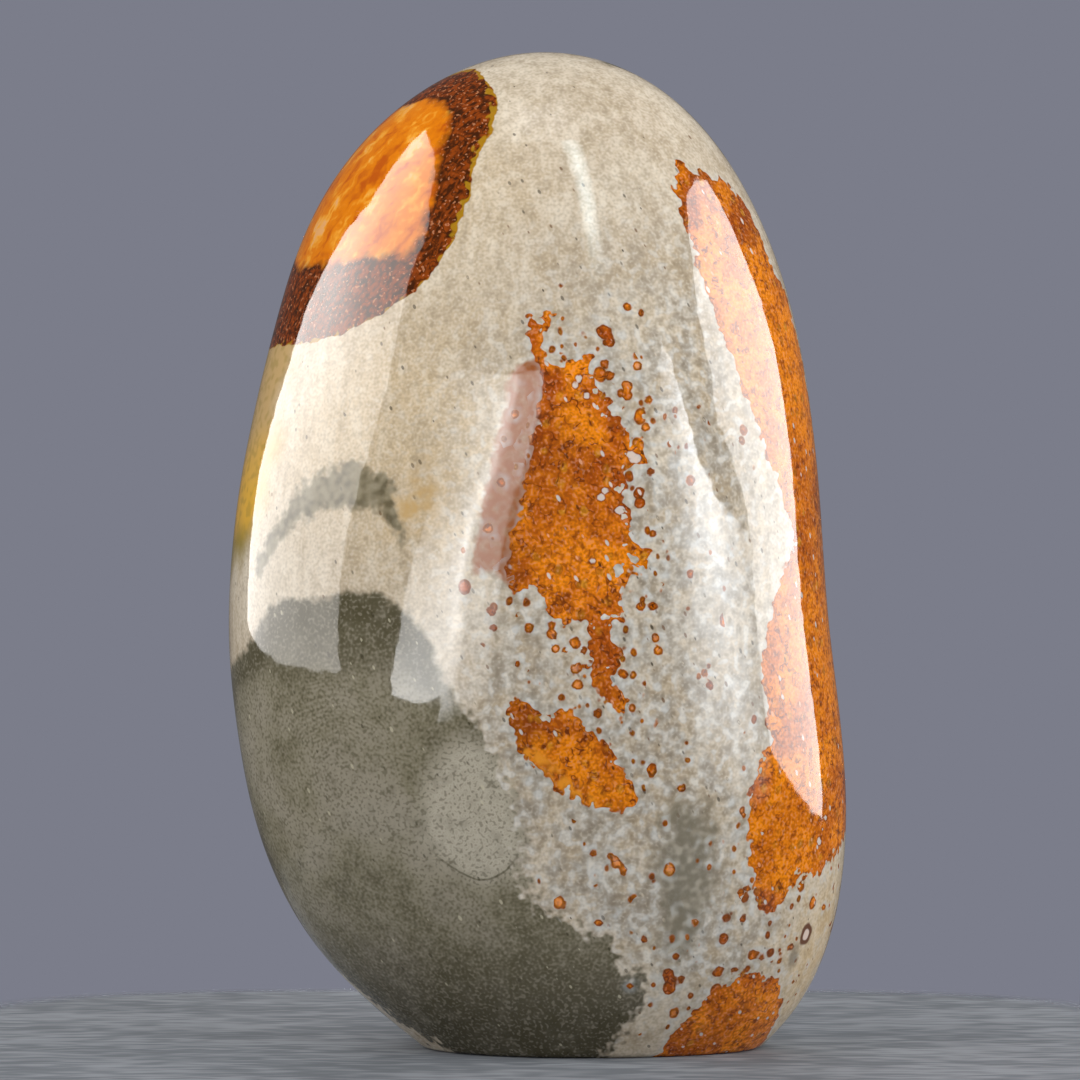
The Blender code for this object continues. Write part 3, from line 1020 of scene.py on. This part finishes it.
# %% Colours of the iron stain
ORANGE = paint(202, 104, 14)
ORANGE_BRIGHT = paint(244, 140, 12)
OCHRE = paint(204, 140, 34)
RUST = paint(168, 76, 10)
RUST_DARK = paint(112, 50, 10)
IRON_RIM = paint(104, 56, 16)
INK = paint(34, 20, 10)
SALMON = paint(240, 174, 134)
HALO = paint(194, 198, 198)
QUARTZ = paint(216, 208, 200)
MAUVE = paint(152, 84, 36)
AMBER = paint(234, 150, 42)

# %% Drops and patches
wander = web.total(web.times(mottle, 0.55), web.times(fine, 0.47))
wobble = web.tree.nodes.new("ShaderNodeCombineXYZ")
for axis, noise in enumerate((rough_edge, mottle, drift)):
    web.put(wobble.inputs[axis], noise)
wobble = wobble.outputs[0]
bent_place = web.vector("ADD", web.place, web.vector("SCALE", wobble, scale=0.22))
long_place = web.vector("MULTIPLY", bent_place, (1, 1, 0.78))
spray = web.times(web.mark("spray"), web.calc("MULTIPLY_ADD", drift, 0.35, 1.0))
spray = web.times(spray, web.fade(web.mark("olive"), 3.0, -1.0))
gaps = web.times(web.fade(rough_edge, 1.3, 0.5), web.mark("spray"))
gaps = web.times(gaps, web.fade(web.mark("iron"), 0.0, -5.5))
patch = web.total(web.mark("iron"), wander, web.times(gaps, 7))
near_patch = web.fade(patch, 0, 8)


def drops(points, largest, chance):
    """The distance in mm to scattered drops, negative inside them, thicker where the spray is."""
    apart, luck, bulk, _ = points
    radius = web.calc("MULTIPLY_ADD", bulk, largest * 0.6, largest * 0.4)
    want = web.times(spray, web.calc("MULTIPLY_ADD", near_patch, chance, chance * 0.4))
    absent = web.times(web.calc("GREATER_THAN", luck, want), 50)
    return web.total(web.calc("SUBTRACT", apart, radius), absent)


placed = web.total(web.mark("drops"), web.times(wander, 0.3))
large_points = web.cells(3.6, seed=97, place=long_place)
small_points = web.cells(2.2, seed=101, place=long_place)
iron = web.lowest(patch, placed, drops(large_points, 1.3, 0.75), drops(small_points, 0.75, 0.75))

# %% Orange and its flecks
stain_drift = web.cloud(4.0, 1, 0.6, seed=103, reach=3.5)
bead, _, bead_kind_2, bead_kind = small_points
stain = web.blend(web.fade(stain_drift, 0.9, -0.5), ORANGE, ORANGE_BRIGHT)
stain = web.blend(web.fade(stain_drift, -1.2, -0.1), stain, RUST)
stain = web.blend(web.times(web.mark("bright"), 0.85), stain, ORANGE_BRIGHT)
stain = web.blend(web.times(web.mark("rusty"), 0.75), stain, RUST_DARK)
bead_core = web.fade(bead, 0.45, 1.05)
stain = web.blend(web.times(web.fade(bead_kind, 0.95, 0.6), bead_core, 0.8), stain, OCHRE)
stain = web.blend(web.times(web.fade(bead_kind_2, 0.95, 0.6), bead_core, 0.45), stain, RUST_DARK)
stain = web.blend(web.fade(fine, -1.5, 0.2, 0.5), stain, RUST)
stain = web.blend(web.fade(fine, 1.8, 0.2, 0.4), stain, ORANGE_BRIGHT)
calm = web.calc("MULTIPLY_ADD", web.mark("bright"), -0.6, 1.0)
crack = web.fade(web.calc("ABSOLUTE", rough_edge), 0.045, 0.24)
stain = web.blend(web.times(crack, web.fade(fine, -0.8, 0.8), calm), stain, RUST_DARK)
bead_edge = web.fade(web.calc("ABSOLUTE", web.calc("SUBTRACT", bead, 0.90)), 0.02, 0.22)
bead_edge = web.times(bead_edge, web.fade(fine, -0.9, 0.9))
stain = web.blend(web.times(bead_edge, 0.55), stain, RUST_DARK)
stain = web.blend(web.fade(grain, -1.1, 0.1, 0.40), stain, RUST_DARK)
stain = web.blend(web.fade(grain, 1.35, 0.25, 0.25), stain, SALMON)
grit = web.specks(fleck_points, 0.38, web.calc("MULTIPLY_ADD", calm, 0.3, 0.2))
stain = web.scatter(stain, grit, INK, SALMON, 0.7)
glint = web.times(grit[0], web.calc("GREATER_THAN", grit[2], 0.78), 0.85)
stain = web.blend(glint, stain, QUARTZ)
vein = web.total(web.mark("vein"), web.times(rough_edge, 0.4))
vein_share = web.times(web.fade(vein, -0.9, 0.5), web.fade(fine, 1.2, -1.8))
stain = web.blend(web.times(vein_share, 0.9), stain, AMBER)

veil = web.total(web.mark("veil"), web.times(wander, 0.6))
veil_share = web.times(web.fade(veil, -0.8, 0.5), web.fade(fine, 1.0, -5.0))
body = web.blend(web.times(veil_share, 0.95), body, MAUVE)
rim = web.fade(web.calc("ABSOLUTE", web.calc("ADD", iron, 0.20)), 0.05, 0.38)
rim_share = web.calc("MULTIPLY_ADD", web.fade(patch, 1.5, 0.0), 0.40, 0.30)
stain = web.blend(web.times(rim, rim_share), stain, IRON_RIM)
halo = web.times(web.fade(iron, 0.1, 1.6), web.fade(fine, 2.2, -1.4))
body = web.blend(web.times(halo, 0.55), body, HALO)
core = web.times(web.fade(iron, -0.75, -0.30), web.fade(patch, 0.6, 0.2))
stain = web.blend(web.times(core, web.fade(stain_drift, 1.6, 0.0), 0.6), stain, SALMON)
crystal = web.total(web.mark("crystals"), web.times(wander, 0.35))
stain = web.blend(web.fade(web.calc("ABSOLUTE", crystal), 0.05, 0.35, 0.6), stain, RUST_DARK)
stain = web.blend(web.fade(crystal, -0.2, 0.05, 0.85), stain, QUARTZ)
body = web.blend(web.fade(iron, -0.14, 0.12), body, stain)

# %% [markdown]
# ## The finish: the banded eye
#
# The eye at the upper left is an agate-like lens: a thin golden line round it, then a dark brown
# band full of tiny sparkles, then a honey heart that glows and clouds. Its borders are calm, so
# only a little noise is added to its distances.

# %% Colours of the eye
GOLDEN_LINE = paint(176, 132, 24)
BROWN = paint(108, 46, 8)
BROWN_DEEP = paint(56, 26, 4)
BROWN_RED = paint(140, 62, 10)
SPARKLE = paint(206, 138, 96)
HONEY = paint(222, 124, 4)
HONEY_PALE = paint(246, 174, 56)
HONEY_PINK = paint(226, 168, 118)
HONEY_DEEP = paint(184, 80, 6)

# %% The eye
EYE_LINE_FROM, EYE_LINE_FULL = 150, 176

eye = web.total(web.mark("eye"), web.times(mottle, 0.25), web.times(rough_edge, 0.22))
heart = web.total(web.mark("eye_heart"), web.times(mottle, 0.7))
along = web.stretched(1.0, 2.0, 38)
band_grain = web.cloud(0.5, 1, 0.75, seed=139, place=along, reach=3.5)
band = web.blend(web.fade(band_grain, 1.2, -0.6), BROWN, BROWN_RED)
band = web.blend(web.fade(band_grain, -1.2, 0.2, 0.85), band, BROWN_DEEP)
seam = web.fade(web.calc("ABSOLUTE", rough_edge), 0.03, 0.20)
band = web.blend(web.times(seam, 0.7), band, BROWN_DEEP)
band = web.blend(web.fade(grain, 1.35, 0.90, 0.6), band, SPARKLE)
band = web.blend(web.fade(grain, -1.5, -0.5, 0.5), band, BROWN_DEEP)
glow_place = web.vector("ADD", along, web.vector("SCALE", wobble, scale=0.6))
glow_drift = web.cloud(2.0, 2, 0.7, seed=151, place=glow_place, reach=3.5)
glow = web.blend(web.fade(glow_drift, 1.3, 0.0, 0.85), HONEY, HONEY_PALE)
glow = web.blend(web.fade(glow_drift, 1.6, 0.8, 0.7), glow, HONEY_PINK)
glow = web.blend(web.fade(glow_drift, -1.6, 0.0, 0.9), glow, HONEY_DEEP)
band = web.blend(web.fade(heart, -1.6, 0.9), band, glow)
heart_seam = web.fade(web.calc("ABSOLUTE", web.calc("SUBTRACT", heart, 0.9)), 0.05, 0.5)
band = web.blend(web.times(heart_seam, 0.55), band, BROWN_DEEP)
line_width = web.calc("MULTIPLY_ADD", mottle, 0.25, 0.9)
line_width = web.times(line_width, web.fade(height, EYE_LINE_FULL, EYE_LINE_FROM))
golden_line = web.total(eye, line_width, web.times(fine, 0.6))
band = web.blend(web.fade(golden_line, 0.3, -0.3, 0.8), band, GOLDEN_LINE)
body = web.blend(web.fade(eye, -0.15, 0.15), body, band)

# %% [markdown]
# ## The finish: an open pore
#
# Low on the right edge one pore was never filled. It shows as a pale oval with a brown rim and a
# grey tail below it, so it is drawn as rings of distance round its middle.

# %% Pore
PORE_PALE = paint(222, 200, 186)
PORE_RIM = paint(104, 66, 44)
PORE_TAIL = paint(120, 112, 98)
PORE, TAIL = on_skin(np.array([(72.0, 24.0), (70.5, 19.5)]))

pore = web.total(web.from_spot(PORE, 0.66), web.times(fine, 0.10))
tail = web.total(web.from_spot(TAIL, 0.45), web.times(mottle, 0.35))
body = web.blend(web.fade(tail, 0.4, 2.2, 0.7), body, PORE_TAIL)
body = web.blend(web.fade(pore, 1.45, 1.9), body, PORE_RIM)
body = web.blend(web.fade(pore, 0.7, 1.0), body, PORE_PALE)

# %% [markdown]
# ## The polish
#
# Jasper is quartz, so its index of refraction is 1.54. The roughness wanders a little all over,
# following the grain noise of the brown bands, and a fine bump stands for the undercut between
# grains that no polish quite closes.

# %% Polish
shader = web.tree.nodes["Principled BSDF"]
web.put(shader.inputs["Base Color"], body)
shader.inputs["IOR"].default_value = 1.54
gloss = web.calc("MULTIPLY_ADD", web.fade(band_grain, 1.0, -1.0), 0.03, 0.03)
web.put(shader.inputs["Roughness"], gloss)
bump = web.tree.nodes.new("ShaderNodeBump")
bump.inputs["Distance"].default_value = 0.01 * MM
bump.inputs["Strength"].default_value = 0.5
web.put(bump.inputs["Height"], web.cloud(1.4, 0, seed=163))
web.put(shader.inputs["Normal"], bump.outputs["Normal"])
stone_mesh.materials.append(jasper)
print("finish:", len(web.tree.nodes), "nodes")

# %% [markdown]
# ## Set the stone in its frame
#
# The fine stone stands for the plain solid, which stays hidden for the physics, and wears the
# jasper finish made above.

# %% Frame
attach(stone, "root")
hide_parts(STONE)
